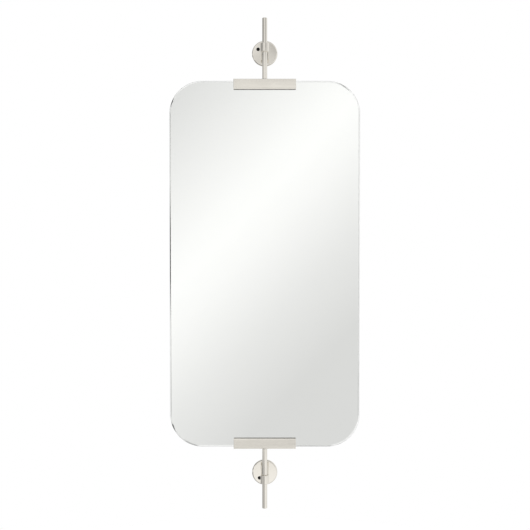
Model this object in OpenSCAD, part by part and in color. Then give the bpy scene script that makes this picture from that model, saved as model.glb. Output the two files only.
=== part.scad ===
// Pivot wall mirror: a frameless glass held at its top and bottom edges by two slotted clamp bars.
// Each clamp turns on the turned-down end of an upright rod. Each rod is nipped in the barrel of a
// wall bracket, so the glass swivels about the rods and its height is set by sliding them.
// The origin is on the wall, midway between the brackets: +X right, +Y into the wall, +Z up.

/* [Mirror glass] */
// Width of the glass
glass_w = 457; // [360:1:600]
// Height of the glass
glass_h = 880; // [600:1:1200]
// Thickness of the glass
glass_t = 5; // [4:0.5:6]
// Radius of the four corners of the glass
corner_r = 78; // [30:1:100]
// Width of the bevel ground along both edges of the glass
glass_arris = 1.2; // [0.5:0.1:1.6]
// Thickness of the silver and the paint over it
coat_t = 0.2; // [0.1:0.05:0.4]

/* [Backing] */
// Thickness of the backing panel
backing_t = 3; // [2:0.5:5]
// Margin of glass left showing round the backing panel
backing_margin = 8; // [4:1:12]
// Bevel on the rear edge of the backing panel
backing_bevel = 0.8; // [0.3:0.1:1.2]
// Diameter of a wall bumper
bumper_d = 12; // [8:1:16]
// Height of a wall bumper
bumper_h = 4; // [3:0.5:6]
// Radius of its domed face
bumper_dome = 9; // [8:0.5:20]
// Distance from the side edge of the backing panel to the middle of a bumper
bumper_edge = 12; // [9:1:20]
// Distance between the upper and the lower bumpers
bumper_rise = 680; // [300:10:800]

/* [Clamp bars] */
// Length of a clamp bar
clamp_l = 150; // [100:1:180]
// Height of a clamp bar
clamp_h = 24.5; // [18:0.5:30]
// Thickness of the front and the rear wall of the slot
clamp_wall = 3; // [2.5:0.1:4]
// Thickness of the web that closes the slot
web_t = 3.5; // [2.5:0.1:5]
// Bevel on the outer edges of a clamp bar
clamp_bevel = 0.6; // [0.3:0.1:1]
// Height of the wider bevel where the front wall meets the glass
lip_bevel_h = 3.2; // [1:0.1:4]
// Depth of that wider bevel
lip_bevel_d = 1.2; // [0.5:0.1:1.8]
// Thickness of the front and the rear gasket
gasket_t = 0.8; // [0.5:0.1:1.5]
// Distance that the gaskets stay back from the mouth of the slot
gasket_back = 1; // [0.5:0.1:2]
// Thickness of the pressure strip
strip_t = 1.5; // [1:0.1:3]
// Distance that the gaskets and the strip stay back from each end of the clamp bar
strip_end = 2; // [1:0.5:5]
// Thickness of a setting block
block_t = 1; // [0.8:0.1:3]
// Length of a setting block
block_l = 30; // [15:1:40]
// Distance from the middle of the clamp bar to the middle of a setting block
block_x = 45; // [30:1:50]

/* [Pinch screws] */
// Number of pinch screws in a clamp bar
pinch_n = 3; // [2:1:5]
// Distance between pinch screws
pinch_step = 50; // [20:1:50]
// Thread diameter of a pinch screw
pinch_d = 4; // [3:0.5:5]
// Width across the flats of its hexagon socket
pinch_socket = 2; // [1.5:0.1:2.2]
// Distance from the mouth of the slot to the middle of a pinch screw
pinch_from_mouth = 6; // [4:0.5:8]

/* [Rods and pivots] */
// Diameter of a rod
rod_d = 12; // [10:0.5:16]
// Distance from the wall to the middle of the rods
rod_out = 66; // [50:1:110]
// Length of rod that stands past the barrel
rod_tail = 60; // [20:1:100]
// Bevel on the free end of a rod
rod_bevel = 0.8; // [0.3:0.1:1.5]
// Diameter of the turned-down end of a rod that the clamp turns on
pivot_d = 8; // [6:0.5:8.5]
// Wall of the pivot bush
bush_wall = 1; // [0.8:0.1:1.5]
// Thickness of the flange of the pivot bush
flange_t = 0.8; // [0.5:0.1:2]
// Thickness of the thrust washer
washer_t = 0.6; // [0.4:0.1:1.5]

/* [Wall brackets] */
// Distance from the outer face of a clamp bar to the middle of the barrel
barrel_reach = 76; // [50:1:120]
// Diameter of a barrel
barrel_d = 20.5; // [18:0.5:26]
// Height of a barrel
barrel_h = 21; // [15:0.5:30]
// Bevel on the ends of a barrel
barrel_bevel = 0.8; // [0.3:0.1:1.5]
// Diameter of the post
post_d = 19; // [13:0.5:20]
// Diameter of the end of the post that passes through the wall plate
post_end_d = 11.6; // [11:0.1:12]
// Thread diameter of the wall bolt that screws into the post
wall_bolt_d = 8; // [6:1:8]
// Depth of the threaded hole in the post
wall_bolt_depth = 24; // [15:1:30]
// Diameter of a wall plate
plate_d = 63; // [50:0.5:80]
// Thickness of a wall plate
plate_t = 6; // [4:0.5:8]
// Radius of the rounded front edge of a wall plate
plate_round = 3; // [1:0.1:3.5]

/* [Steady and rod screws] */
// Thread diameter of a steady screw
steady_d = 8; // [5:0.5:9]
// Width across the flats of its hexagon socket
steady_socket = 4; // [2:0.5:4]
// Distance from the middle of a wall plate to its steady screw
steady_r = 19.2; // [14:0.1:20]
// Angle of the upper steady screw, from +X towards +Z
upper_steady_turn = 149; // [0:1:359]
// Angle of the lower steady screw, from +X towards +Z
lower_steady_turn = 226; // [0:1:359]
// Thread diameter of a rod screw
rod_screw_d = 5; // [4:0.5:6]
// Width across the flats of its hexagon socket
rod_screw_socket = 2.5; // [2:0.1:3]
// Thickness of the soft pad under a rod screw
pad_t = 1; // [0.6:0.1:1.4]
// Radial clearance of that pad in the screw's hole
pad_gap = 0.2; // [0.1:0.05:0.5]

/* [Clearances] */
// Radial clearance of what turns or slides
running_gap = 0.05; // [0.03:0.01:0.1]
// Radial clearance of what is screwed in or pressed in
seat_gap = 0.05; // [0.02:0.01:0.1]
// Radial clearance of the post in the wall plate
plate_gap = 0.1; // [0.05:0.01:0.3]
// Distance that a grub screw lies below the face round it
screw_sunk = 0.3; // [0.1:0.1:0.5]
// Bevel round the mouth of a bored or drilled hole
mouth_bevel = 0.4; // [0.2:0.1:0.6]

/* [Hidden] */
$fn = 96;

// The clamp's layers, counted from its front face towards the wall
glass_in = clamp_wall + gasket_t;
coat_in = glass_in + glass_t;
backing_in = coat_in + coat_t;
rear_gasket_in = backing_in + backing_t;
strip_in = rear_gasket_in + gasket_t;
rear_wall_in = strip_in + strip_t;
clamp_t = rear_wall_in + clamp_wall;

// The clamp's front face, with the rods in the middle of its thickness
clamp_front_y = -rod_out - clamp_t / 2;

// Heights from the middle of the glass
clamp_top_z = glass_h / 2 + block_t + web_t;
barrel_z = clamp_top_z + barrel_reach;
rod_top = barrel_reach + barrel_h / 2 + rod_tail;

// The backing panel, inside the glass by its margin
backing_w = glass_w - 2 * backing_margin;
backing_h = glass_h - 2 * backing_margin;

// The glass and the backing below the clamp's outer face
glass_below = web_t + block_t;
backing_below = glass_below + backing_margin;
strip_bottom = clamp_h - gasket_back;
strip_top = backing_below + backing_bevel;

// The bush in the web and the flange over it
bush_d = pivot_d + 2 * (running_gap + bush_wall);
flange_d = rod_d;

// The rod's way through the barrel, and the screw beside it
barrel_bore_d = rod_d + 2 * running_gap;
rod_screw_in = barrel_bore_d / 2 + pad_t;
rod_screw_l = barrel_d / 2 - rod_screw_in - screw_sunk;

// Small bevels on the screws and on the rods' turned-down ends
grub_bevel = 0.3;
pivot_bevel = 0.4;

nickel = "#d8d3ca";
black_steel = "#1c1c1d";
brass = "#c2a050";
rubber_grey = "#8d8f90";
acetal_white = "#e9e7e0";

// ---- Shared shapes ----

// Turns a drawing in the YZ plane into a bar of a length along X, centred on X = 0
module bar_along_x(length) {
  translate([-length / 2, 0, 0])
    rotate([90, 0, 90])
      linear_extrude(length)
        children();
}

// A cylinder or disc with both ends bevelled, standing on Z = 0
module bevelled_cylinder(d, h, bevel) {
  rotate_extrude()
    polygon([
      [0, 0], [d / 2 - bevel, 0], [d / 2, bevel],
      [d / 2, h - bevel], [d / 2 - bevel, h], [0, h]
    ]);
}

// A rectangle from the origin with its four corners cut off
module bevelled_rectangle(w, h, bevel) {
  polygon([
    [bevel, 0], [w - bevel, 0], [w, bevel], [w, h - bevel],
    [w - bevel, h], [bevel, h], [0, h - bevel], [0, bevel]
  ]);
}

// The edge of a panel as [distance in from the edge, depth] points, with a bevel at each face
function edge_points(t, front, rear) = concat(
  front > 0 ? [[front, 0], [0, front]] : [[0, 0]],
  rear > 0 ? [[0, t - rear], [rear, t]] : [[0, t]]
);

// The panel's whole section, as [across, depth] points
function section_points(across, edge) = concat(
  [for (p = edge) [p[0] - across / 2, p[1]]],
  [for (i = [len(edge) - 1 : -1 : 0]) [across / 2 - edge[i][0], edge[i][1]]]
);

// A standing panel with round corners, its front face at Y = 0. The same edge runs along
// its straight sides, as two crossed slabs, and round its corners, as four turned discs.
module round_panel(w, h, r, t, front, rear) {
  edge = edge_points(t, front, rear);
  bar_along_x(w - 2 * r)
    polygon([for (p = section_points(h, edge)) [p[1], p[0]]]);
  translate([0, 0, r - h / 2])
    linear_extrude(h - 2 * r)
      polygon(section_points(w, edge));
  for (sx = [-1, 1])
    for (sz = [-1, 1])
      translate([sx * (w / 2 - r), 0, sz * (h / 2 - r)])
        rotate([-90, 0, 0])
          rotate_extrude()
            polygon(concat([[0, 0]], [for (p = edge) [r - p[0], p[1]]], [[0, t]]));
}

// A socket grub screw with its tip at Z = 0, bevelled at both ends
module grub_screw(d, l, socket) {
  difference() {
    bevelled_cylinder(d, l, grub_bevel);
    translate([0, 0, l / 2])
      cylinder(d = socket / cos(30), h = l, $fn = 6);
  }
}

// What a drill takes out along +Z, up to a face where the mouth of its hole is bevelled
module drilling(r, bottom, face) {
  rotate_extrude()
    polygon([
      [0, bottom], [r, bottom], [r, face - mouth_bevel],
      [r + 2 * mouth_bevel, face + mouth_bevel], [0, face + mouth_bevel]
    ]);
}

// What a bore takes out of a body that stands on Z = 0, with both of its mouths bevelled
module boring(r, h) {
  rotate_extrude()
    polygon([
      [0, -mouth_bevel], [r + 2 * mouth_bevel, -mouth_bevel], [r, mouth_bevel],
      [r, h - mouth_bevel], [r + 2 * mouth_bevel, h + mouth_bevel], [0, h + mouth_bevel]
    ]);
}

// Builds for the upper end, or mirrored for the lower one
module at_end(end) {
  mirror([0, 0, end == "lower" ? 1 : 0])
    children();
}

// Places a piece of a clamp: Y = 0 is the clamp's front face and Z = 0 its outer face
module in_clamp(end) {
  at_end(end)
    translate([0, clamp_front_y, clamp_top_z])
      children();
}

// Places a piece on the rods' line: Z = 0 is the clamp's outer face
module on_pivot(end) {
  at_end(end)
    translate([0, -rod_out, clamp_top_z])
      children();
}

// Places a piece on a bracket: Z = 0 is the wall and +Z comes out of it
module on_bracket(end) {
  at_end(end)
    translate([0, 0, barrel_z])
      rotate([90, 0, 0])
        children();
}

// ---- Wall brackets ----

// Places a steady screw or its hole, at its angle round a wall plate
module at_steady(turn) {
  rotate([0, 0, turn])
    translate([steady_r, 0, 0])
      children();
}

// A turned disc with a rounded front edge, drilled for the post and the steady screw
module wall_plate(z, turn) {
  color(nickel)
    translate([0, 0, z])
      rotate([90, 0, 0])
        difference() {
          rotate_extrude() {
            square([plate_d / 2 - plate_round, plate_t]);
            square([plate_d / 2, plate_t - plate_round]);
            translate([plate_d / 2 - plate_round, plate_t - plate_round])
              circle(plate_round);
          }
          translate([0, 0, -plate_t])
            cylinder(r = post_end_d / 2 + plate_gap, h = 3 * plate_t);
          at_steady(turn)
            drilling(steady_d / 2 + seat_gap, -plate_t, plate_t);
        }
}

// Its point bears on the wall, so that the plate cannot turn
module steady_screw(z, turn) {
  color(black_steel)
    translate([0, 0, z])
      rotate([90, 0, 0])
        at_steady(turn)
          translate([0, 0, screw_sunk])
            grub_screw(steady_d, plate_t - 2 * screw_sunk, steady_socket);
}

// Post and barrel in one piece. The post's thinner end passes through the wall plate and
// takes the wall bolt, its shoulder holds the plate down, and the barrel takes the rod.
module arm(end) {
  color(nickel)
    difference() {
      union() {
        on_bracket(end)
          cylinder(d = post_end_d, h = rod_out);
        on_bracket(end)
          translate([0, 0, plate_t])
            cylinder(d = post_d, h = rod_out - plate_t);
        on_bracket(end)
          translate([0, barrel_h / 2, rod_out])
            rotate([90, 0, 0])
              bevelled_cylinder(barrel_d, barrel_h, barrel_bevel);
      }
      on_bracket(end)
        translate([0, barrel_h / 2, rod_out])
          rotate([90, 0, 0])
            boring(barrel_bore_d / 2, barrel_h);
      on_bracket(end)
        translate([0, 0, -wall_bolt_depth])
          cylinder(d = wall_bolt_d, h = 2 * wall_bolt_depth);
      on_bracket(end)
        translate([0, 0, rod_out])
          rotate([0, 90, 0])
            drilling(rod_screw_d / 2 + seat_gap, 0, barrel_d / 2);
    }
}

// Nips the rod from the side of the barrel, through a soft pad
module rod_screw(end) {
  color(nickel)
    on_bracket(end)
      translate([rod_screw_in, 0, rod_out])
        rotate([0, 90, 0])
          grub_screw(rod_screw_d, rod_screw_l, rod_screw_socket);
}

module rod_screw_pads() {
  color(brass)
    for (end = ["upper", "lower"])
      on_bracket(end)
        translate([barrel_bore_d / 2, 0, rod_out])
          rotate([0, 90, 0])
            cylinder(r = rod_screw_d / 2 - pad_gap, h = pad_t);
}

// ---- Rods and pivots ----

// The turned-down end reaches through the web, and the shoulder stands on the washer
module rod(end) {
  color(nickel)
    on_pivot(end)
      rotate_extrude()
        polygon([
          [0, -web_t], [pivot_d / 2 - pivot_bevel, -web_t], [pivot_d / 2, pivot_bevel - web_t],
          [pivot_d / 2, flange_t + washer_t], [rod_d / 2, flange_t + washer_t],
          [rod_d / 2, rod_top - rod_bevel], [rod_d / 2 - rod_bevel, rod_top], [0, rod_top]
        ]);
}

// The sleeve fills the web, and the flange lies on the clamp's outer face
module pivot_bush(end) {
  bore = pivot_d / 2 + running_gap;
  color(acetal_white)
    on_pivot(end)
      rotate_extrude()
        polygon([
          [bore, -web_t], [bush_d / 2, -web_t], [bush_d / 2, 0],
          [flange_d / 2, 0], [flange_d / 2, flange_t], [bore, flange_t]
        ]);
}

module thrust_washer(end) {
  color("silver")
    on_pivot(end)
      translate([0, 0, flange_t])
        difference() {
          cylinder(d = flange_d, h = washer_t);
          translate([0, 0, -washer_t])
            cylinder(r = pivot_d / 2 + seat_gap, h = 3 * washer_t);
        }
}

// ---- Clamp bars ----

function pinch_places() = [for (i = [0 : pinch_n - 1]) (i - (pinch_n - 1) / 2) * pinch_step];

// Places a pinch screw or its hole in the rear wall, with +Z towards the wall of the room
module at_pinch_screws() {
  for (x = pinch_places())
    translate([x, rear_wall_in, pinch_from_mouth - clamp_h])
      rotate([-90, 0, 0])
        children();
}

// A solid bar with bevelled edges, slotted from the glass side, with a wider bevel on its
// front lip, the pivot bush's hole in its web and the pinch screws' holes in its rear wall
module clamp_bar(end) {
  color(nickel)
    in_clamp(end)
      difference() {
        intersection() {
          bar_along_x(clamp_l)
            translate([0, -clamp_h])
              bevelled_rectangle(clamp_t, clamp_h, clamp_bevel);
          translate([-clamp_l / 2, 0, -clamp_h])
            linear_extrude(clamp_h)
              bevelled_rectangle(clamp_l, clamp_t, clamp_bevel);
          translate([-clamp_l / 2, clamp_t, -clamp_h])
            rotate([90, 0, 0])
              linear_extrude(clamp_t)
                bevelled_rectangle(clamp_l, clamp_h, clamp_bevel);
        }
        // Slot for the glass and the layers behind it
        bar_along_x(2 * clamp_l)
          translate([clamp_wall, -2 * clamp_h])
            square([clamp_t - 2 * clamp_wall, 2 * clamp_h - web_t]);
        // Wider bevel on the front lip
        bar_along_x(2 * clamp_l)
          polygon([
            [-lip_bevel_d, -clamp_h - 1], [lip_bevel_d, -clamp_h - 1],
            [lip_bevel_d, -clamp_h], [0, lip_bevel_h - clamp_h], [-lip_bevel_d, lip_bevel_h - clamp_h]
          ]);
        translate([0, clamp_t / 2, -2 * web_t])
          cylinder(r = bush_d / 2 + seat_gap, h = 3 * web_t);
        at_pinch_screws()
          drilling(pinch_d / 2 + seat_gap, -clamp_wall / 2, clamp_wall);
      }
}

module pinch_screws(end) {
  color(black_steel)
    in_clamp(end)
      at_pinch_screws()
        grub_screw(pinch_d, clamp_wall - screw_sunk, pinch_socket);
}

// A flat strip in the slot, from one distance below the clamp's outer face to another
module slot_strip(from_front, thick, below, lowest) {
  translate([-(clamp_l / 2 - strip_end), from_front, -lowest])
    cube([clamp_l - 2 * strip_end, thick, lowest - below]);
}

module front_gasket(end) {
  color(rubber_grey)
    in_clamp(end)
      slot_strip(clamp_wall, gasket_t, glass_below + glass_arris, strip_bottom);
}

module rear_gasket(end) {
  color(rubber_grey)
    in_clamp(end)
      slot_strip(rear_gasket_in, gasket_t, strip_top, strip_bottom);
}

module pressure_strip(end) {
  color("silver")
    in_clamp(end)
      slot_strip(strip_in, strip_t, strip_top, strip_bottom);
}

// The edge of the glass stands on these, clear of the web
module setting_blocks(end) {
  color(acetal_white)
    in_clamp(end)
      for (side = [-1, 1])
        translate([side * block_x - block_l / 2, glass_in, -glass_below])
          cube([block_l, glass_t, block_t]);
}

// ---- Glass and backing ----

// Both edges are bevelled, so its face shows a bright line all round
module mirror_glass() {
  color("#dfe6e3")
    translate([0, clamp_front_y + glass_in, 0])
      round_panel(glass_w, glass_h, corner_r, glass_t, glass_arris, glass_arris);
}

// Covers the rear face of the glass up to its bevel
module silver_coat() {
  inset = glass_arris;
  color("silver")
    translate([0, clamp_front_y + coat_in, 0])
      round_panel(glass_w - 2 * inset, glass_h - 2 * inset, corner_r - inset, coat_t, 0, 0);
}

// A thin board that stiffens the glass, back from its edge so that it stays out of sight
module backing_panel() {
  color("#6f7173")
    translate([0, clamp_front_y + backing_in, 0])
      round_panel(backing_w, backing_h, corner_r - backing_margin, backing_t, 0, backing_bevel);
}

// Soft domes that meet the wall before the edge of the glass does
module wall_bumpers() {
  color("#c9cccd")
    for (sx = [-1, 1])
      for (sz = [-1, 1])
        translate([
          sx * (backing_w / 2 - bumper_edge),
          clamp_front_y + rear_gasket_in,
          sz * bumper_rise / 2
        ])
          rotate([-90, 0, 0])
            rotate_extrude()
              intersection() {
                square([bumper_d / 2, bumper_h]);
                translate([0, bumper_h - bumper_dome])
                  circle(bumper_dome);
              }
}

wall_plate(barrel_z, upper_steady_turn);  // upper_wall_plate
wall_plate(-barrel_z, lower_steady_turn);  // lower_wall_plate
arm("upper");  // upper_arm
arm("lower");  // lower_arm
steady_screw(barrel_z, upper_steady_turn);  // upper_steady_screw
steady_screw(-barrel_z, lower_steady_turn);  // lower_steady_screw
rod_screw("upper");  // upper_rod_screw
rod_screw("lower");  // lower_rod_screw
rod_screw_pads();
rod("upper");  // upper_rod
rod("lower");  // lower_rod
mirror_glass();
silver_coat();
backing_panel();
wall_bumpers();
clamp_bar("upper");  // upper_clamp_bar
clamp_bar("lower");  // lower_clamp_bar
front_gasket("upper");  // upper_front_gasket
front_gasket("lower");  // lower_front_gasket
rear_gasket("upper");  // upper_rear_gasket
rear_gasket("lower");  // lower_rear_gasket
pressure_strip("upper");  // upper_pressure_strip
pressure_strip("lower");  // lower_pressure_strip
pinch_screws("upper");  // upper_pinch_screws
pinch_screws("lower");  // lower_pinch_screws
setting_blocks("upper");  // upper_setting_blocks
setting_blocks("lower");  // lower_setting_blocks
pivot_bush("upper");  // upper_pivot_bush
pivot_bush("lower");  // lower_pivot_bush
thrust_washer("upper");  // upper_thrust_washer
thrust_washer("lower");  // lower_thrust_washer
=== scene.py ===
import bpy
import bmesh
import math
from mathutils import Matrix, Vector


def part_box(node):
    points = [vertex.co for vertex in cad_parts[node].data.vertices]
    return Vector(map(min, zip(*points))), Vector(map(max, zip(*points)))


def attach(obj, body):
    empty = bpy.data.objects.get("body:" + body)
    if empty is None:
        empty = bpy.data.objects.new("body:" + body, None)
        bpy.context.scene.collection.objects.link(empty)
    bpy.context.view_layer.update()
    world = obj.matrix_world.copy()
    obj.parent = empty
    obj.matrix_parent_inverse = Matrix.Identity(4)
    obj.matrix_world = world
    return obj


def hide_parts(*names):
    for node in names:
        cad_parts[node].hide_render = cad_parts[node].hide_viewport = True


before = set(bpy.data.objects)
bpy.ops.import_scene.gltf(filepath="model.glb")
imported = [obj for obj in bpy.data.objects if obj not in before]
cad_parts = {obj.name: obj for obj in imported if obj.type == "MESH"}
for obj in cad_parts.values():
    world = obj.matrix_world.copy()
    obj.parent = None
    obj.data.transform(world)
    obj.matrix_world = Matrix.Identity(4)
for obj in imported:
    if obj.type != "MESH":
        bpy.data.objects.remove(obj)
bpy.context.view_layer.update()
scene = bpy.context.scene
mm = 0.001
sides = {"upper": 1, "lower": -1}
plateLow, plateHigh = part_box("upper_wall_plate")
bracketMiddle = (plateLow.z + plateHigh.z) / 2
print("frame loaded:", len(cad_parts), "pieces")


def addObject(name, data):
    made = bpy.data.objects.new(name, data)
    scene.collection.objects.link(made)
    return made


# a node with its inputs given as numbers or as sockets to link
def addNode(tree, kind, inputs=None, **settings):
    node = tree.nodes.new(kind)
    for key, value in settings.items():
        setattr(node, key, value)
    for key, value in (inputs or {}).items():
        if isinstance(value, bpy.types.NodeSocket):
            tree.links.new(value, node.inputs[key])
        else:
            node.inputs[key].default_value = value
    return node


def calc(tree, operation, a, b=0.0):
    return addNode(tree, "ShaderNodeMath", {0: a, 1: b}, operation=operation).outputs[0]


def times(tree, a, b):
    return calc(tree, "MULTIPLY", a, b)


def minus(tree, a, b):
    return calc(tree, "SUBTRACT", a, b)


def vectorCalc(tree, operation, a, b=None):
    inputs = {0: a} if b is None else {0: a, 1: b}
    node = addNode(tree, "ShaderNodeVectorMath", inputs, operation=operation)
    return node.outputs["Value" if operation in ("LENGTH", "DOT_PRODUCT") else "Vector"]


def vector(tree, **parts):
    return addNode(tree, "ShaderNodeCombineXYZ", parts).outputs["Vector"]


# carries a value from one range to another, held at its ends
def remap(tree, value, fromLow, fromHigh, toLow=0.0, toHigh=1.0):
    ends = {"Value": value, "From Min": fromLow, "From Max": fromHigh, "To Min": toLow, "To Max": toHigh}
    return addNode(tree, "ShaderNodeMapRange", ends).outputs["Result"]


def mixColors(tree, factor, under, over):
    return addNode(tree, "ShaderNodeMix", {0: factor, 6: under, 7: over}, data_type="RGBA").outputs[2]


def noiseAt(tree, place, scale, detail=2.0, roughness=0.5):
    inputs = {"Vector": place, "Scale": scale, "Detail": detail, "Roughness": roughness}
    return addNode(tree, "ShaderNodeTexNoise", inputs).outputs["Fac"]


def objectPlace(tree):
    return addNode(tree, "ShaderNodeTexCoord").outputs["Object"]


# a node group with named inputs and outputs; gives the tree, its inputs and its outputs
def newGroup(name, kind, ins, outs):
    tree = bpy.data.node_groups.new(name, kind)
    for label, socketKind, value in ins:
        socket = tree.interface.new_socket(name=label, in_out="INPUT", socket_type=socketKind)
        if value is not None:
            socket.default_value = value
    for label, socketKind in outs:
        tree.interface.new_socket(name=label, in_out="OUTPUT", socket_type=socketKind)
    return tree, tree.nodes.new("NodeGroupInput").outputs, tree.nodes.new("NodeGroupOutput").inputs


def placeGroup(tree, group, **values):
    return addNode(tree, "ShaderNodeGroup", values, node_tree=group).outputs


# slow change between two tones, as plating and paint have
def makeToneDrift():
    tree, given, out = newGroup("toneDrift", "ShaderNodeTree", [
        ("Light", "NodeSocketColor", (0.8, 0.8, 0.8, 1)),
        ("Dark", "NodeSocketColor", (0.6, 0.6, 0.6, 1)),
        ("Size", "NodeSocketFloat", 30.0),
    ], [("Color", "NodeSocketColor"), ("Mask", "NodeSocketFloat")])
    mask = remap(tree, noiseAt(tree, objectPlace(tree), given["Size"], 3.0, 0.55), 0.3, 0.7)
    tree.links.new(mixColors(tree, mask, given["Dark"], given["Light"]), out["Color"])
    tree.links.new(mask, out["Mask"])
    return tree


# fine lines drawn along one direction, from polishing or rolling
def makeDrawnGrain():
    tree, given, out = newGroup("drawnGrain", "ShaderNodeTree", [
        ("Stretch", "NodeSocketVector", (20.0, 1500.0, 1500.0)),
    ], [("Height", "NodeSocketFloat"), ("Mask", "NodeSocketFloat")])
    stretched = vectorCalc(tree, "MULTIPLY", objectPlace(tree), given["Stretch"])
    fine = noiseAt(tree, stretched, 1.0, 4.0, 0.7)
    patches = noiseAt(tree, stretched, 0.3, 2.0)
    tree.links.new(fine, out["Height"])
    tree.links.new(remap(tree, times(tree, fine, patches), 0.12, 0.42), out["Mask"])
    return tree


# scattered hairline scratches, in two directions
def makeHairlines():
    tree, given, out = newGroup("hairlines", "ShaderNodeTree", [
        ("Amount", "NodeSocketFloat", 0.5),
    ], [("Mask", "NodeSocketFloat")])
    place = objectPlace(tree)
    lines = []
    for axis, angle in (((0.9, 0.3, 0.2), 0.7), ((0.1, 0.8, 0.6), 2.3)):
        rotated = addNode(tree, "ShaderNodeVectorRotate", {"Vector": place, "Axis": axis, "Angle": angle})
        drawn = vectorCalc(tree, "MULTIPLY", rotated.outputs["Vector"], (45.0, 2600.0, 2600.0))
        lines.append(remap(tree, noiseAt(tree, drawn, 1.0, 1.0), 0.70, 0.76))
    both = calc(tree, "MAXIMUM", lines[0], lines[1])
    tree.links.new(times(tree, both, given["Amount"]), out["Mask"])
    return tree


# lighter, rubbed corners: where a rounded normal leaves the flat one
def makeEdgeRub():
    tree, given, out = newGroup("edgeRub", "ShaderNodeTree", [
        ("Width", "NodeSocketFloat", 0.0006),
        ("Amount", "NodeSocketFloat", 1.0),
    ], [("Mask", "NodeSocketFloat")])
    rounded = addNode(tree, "ShaderNodeBevel", {"Radius": given["Width"]}, samples=6).outputs["Normal"]
    flat = addNode(tree, "ShaderNodeNewGeometry").outputs["Normal"]
    edge = remap(tree, vectorCalc(tree, "DOT_PRODUCT", rounded, flat), 0.99, 0.8)
    broken = remap(tree, noiseAt(tree, objectPlace(tree), 260.0, 4.0), 0.35, 0.6)
    mask = times(tree, times(tree, edge, broken), given["Amount"])
    tree.links.new(mask, out["Mask"])
    return tree


# rings left by a lathe round the middle of a wall plate
def makeLatheRings():
    tree, given, out = newGroup("latheRings", "ShaderNodeTree", [
        ("Middle", "NodeSocketFloat", 0.5),
        ("Pitch", "NodeSocketFloat", 5200.0),
    ], [("Height", "NodeSocketFloat")])
    parts = addNode(tree, "ShaderNodeSeparateXYZ", {"Vector": objectPlace(tree)}).outputs
    rise = minus(tree, calc(tree, "ABSOLUTE", parts["Z"]), given["Middle"])
    flat = vector(tree, X=parts["X"], Y=rise)
    turns = times(tree, vectorCalc(tree, "LENGTH", flat), given["Pitch"])
    wave = addNode(tree, "ShaderNodeTexNoise", {"Scale": 1.0, "Detail": 3.0}, noise_dimensions="1D")
    tree.links.new(turns, wave.inputs["W"])
    tree.links.new(wave.outputs["Fac"], out["Height"])
    return tree


# thin dust that settles on what faces up, and a faint film elsewhere
def makeDustFilm():
    tree, given, out = newGroup("dustFilm", "ShaderNodeTree", [
        ("Amount", "NodeSocketFloat", 0.2),
    ], [("Mask", "NodeSocketFloat")])
    normal = addNode(tree, "ShaderNodeNewGeometry").outputs["Normal"]
    upward = addNode(tree, "ShaderNodeSeparateXYZ", {"Vector": normal}).outputs["Z"]
    lying = remap(tree, upward, 0.2, 1.0, 0.12, 1.0)
    specks = remap(tree, noiseAt(tree, objectPlace(tree), 900.0, 5.0, 0.7), 0.45, 0.75)
    mask = times(tree, times(tree, lying, specks), given["Amount"])
    tree.links.new(mask, out["Mask"])
    return tree


toneDrift = makeToneDrift()
drawnGrain = makeDrawnGrain()
hairlines = makeHairlines()
edgeRub = makeEdgeRub()
latheRings = makeLatheRings()
dustFilm = makeDustFilm()
print("shared effects made")


def newMaterial(name, **sockets):
    material = bpy.data.materials.new(name)
    material.use_nodes = True
    tree = material.node_tree
    shader = tree.nodes["Principled BSDF"]
    for label, value in sockets.items():
        shader.inputs[label.replace("_", " ")].default_value = value
    return material, tree, shader.inputs


def twoTones(tree, light, dark, size):
    return placeGroup(tree, toneDrift, Light=(*light, 1), Dark=(*dark, 1), Size=size)


# bumps laid one over another, each given as (height, strength, depth)
def addBumps(tree, shader, *layers):
    normal = None
    for height, strength, depth in layers:
        inputs = {"Height": height, "Strength": strength, "Distance": depth}
        if normal:
            inputs["Normal"] = normal
        normal = addNode(tree, "ShaderNodeBump", inputs).outputs["Normal"]
    tree.links.new(normal, shader["Normal"])


rubbedNickel = (0.90, 0.88, 0.84, 1)
greyDust = (0.62, 0.60, 0.57, 1)


# plated metal: two tones, a grain or lathe rings, hairlines, rubbed edges and dust
def makePlated(name, light, dark, roughness, grain=None, depth=0.04, rub=0.5):
    material, tree, shader = newMaterial(name, Metallic=1.0)
    tone = twoTones(tree, light, dark, 24.0)
    if grain:
        lines = placeGroup(tree, drawnGrain, Stretch=grain)
        marks = lines["Mask"]
    else:
        lines = placeGroup(tree, latheRings, Middle=bracketMiddle)
        marks = lines["Height"]
    scratches = placeGroup(tree, hairlines, Amount=0.5)["Mask"]
    edge = placeGroup(tree, edgeRub, Width=0.5 * mm, Amount=rub)["Mask"]
    dust = placeGroup(tree, dustFilm, Amount=0.16)["Mask"]
    rubbed = mixColors(tree, edge, tone["Color"], rubbedNickel)
    tree.links.new(mixColors(tree, dust, rubbed, greyDust), shader["Base Color"])
    worn = calc(tree, "ADD", remap(tree, scratches, 0.0, 1.0, 0.0, 0.16),
                remap(tree, dust, 0.0, 1.0, 0.0, 0.3))
    rough = calc(tree, "ADD", remap(tree, marks, 0.0, 1.0, *roughness), worn)
    tree.links.new(rough, shader["Roughness"])
    addBumps(tree, shader, (lines["Height"], depth, 0.05 * mm), (scratches, 0.1, 0.03 * mm))
    return material


def makeBlackOxide():
    material, tree, shader = newMaterial("blackOxide", Metallic=0.7)
    tone = twoTones(tree, (0.030, 0.029, 0.030), (0.010, 0.010, 0.011), 420.0)
    edge = placeGroup(tree, edgeRub, Width=0.15 * mm, Amount=0.7)["Mask"]
    tree.links.new(mixColors(tree, edge, tone["Color"], (0.20, 0.19, 0.18, 1)), shader["Base Color"])
    tree.links.new(remap(tree, tone["Mask"], 0.0, 1.0, 0.28, 0.5), shader["Roughness"])
    addBumps(tree, shader, (tone["Mask"], 0.15, 0.03 * mm))
    return material


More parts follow.
